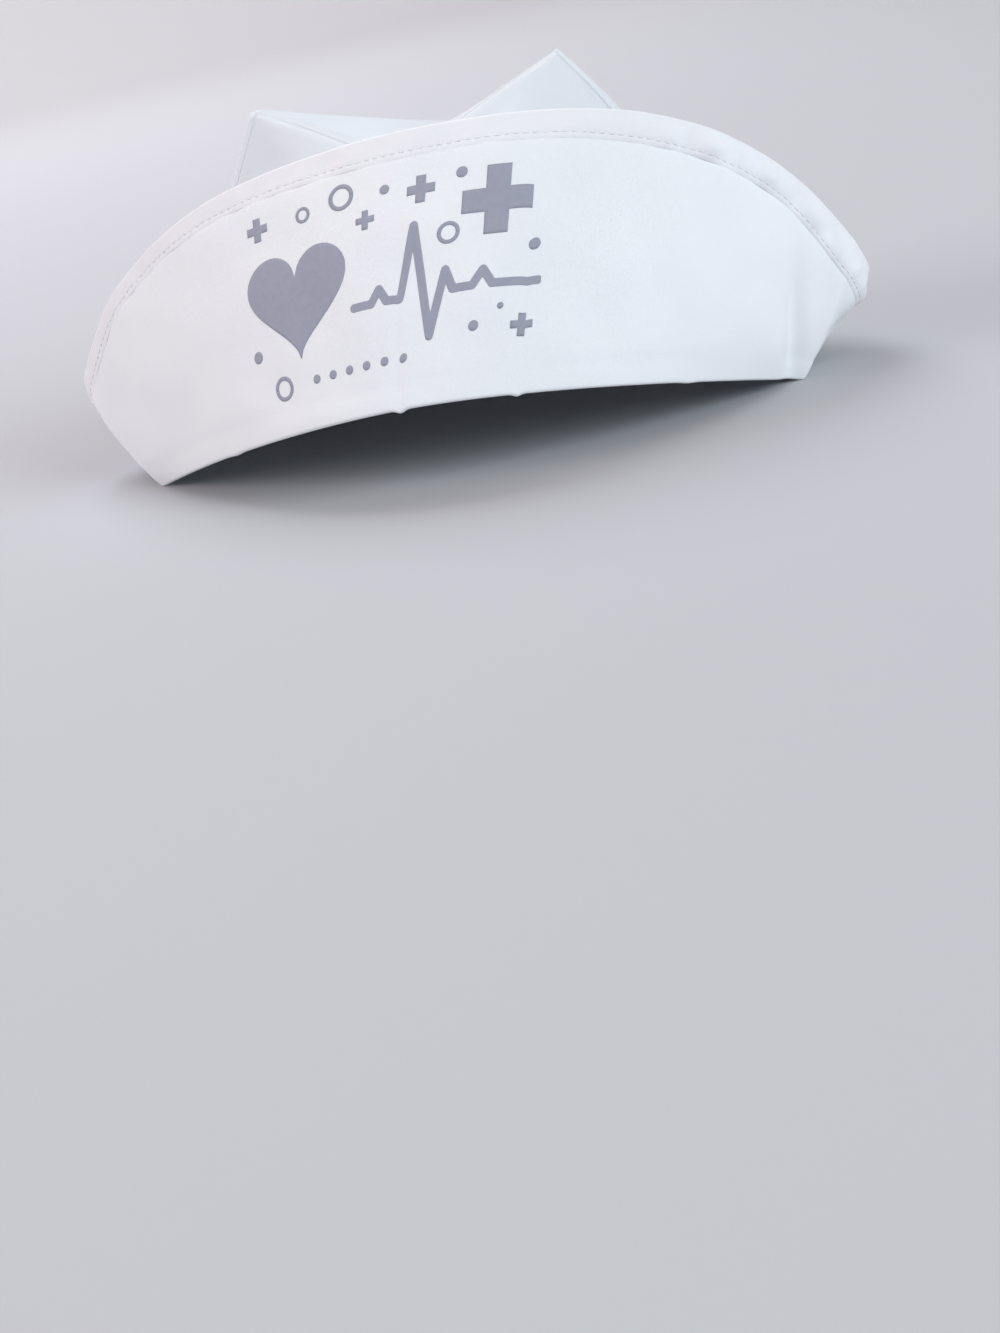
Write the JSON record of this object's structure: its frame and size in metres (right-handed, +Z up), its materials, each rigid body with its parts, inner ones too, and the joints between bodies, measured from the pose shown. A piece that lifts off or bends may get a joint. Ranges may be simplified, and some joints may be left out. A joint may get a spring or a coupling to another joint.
{
  "type": "nurse cap",
  "caption": "White cotton nurse cap with a turned-up crescent cuff, a stitched hem band and a soft crown that ends in peaks.",
  "frame": {"origin": "on the surface that the cap rests on, under the middle of its bounding box", "axes": "+Z up from the rim to the peaks, -Y towards the front of the cap, +X to the viewer's right when facing the front"},
  "size_m": [0.276, 0.17, 0.115],
  "materials": {
    "cuff_cotton": "smooth matte cotton twill, stiffened",
    "hem_cotton": "matte cotton twill, topstitched",
    "crown_cotton": "soft matte cotton twill"
  },
  "bodies": {
    "root": {"cuff": "cuff_cotton", "hem_band": "hem_cotton", "crown_front": "crown_cotton", "crown_back": "crown_cotton"}
  },
  "joints": []
}
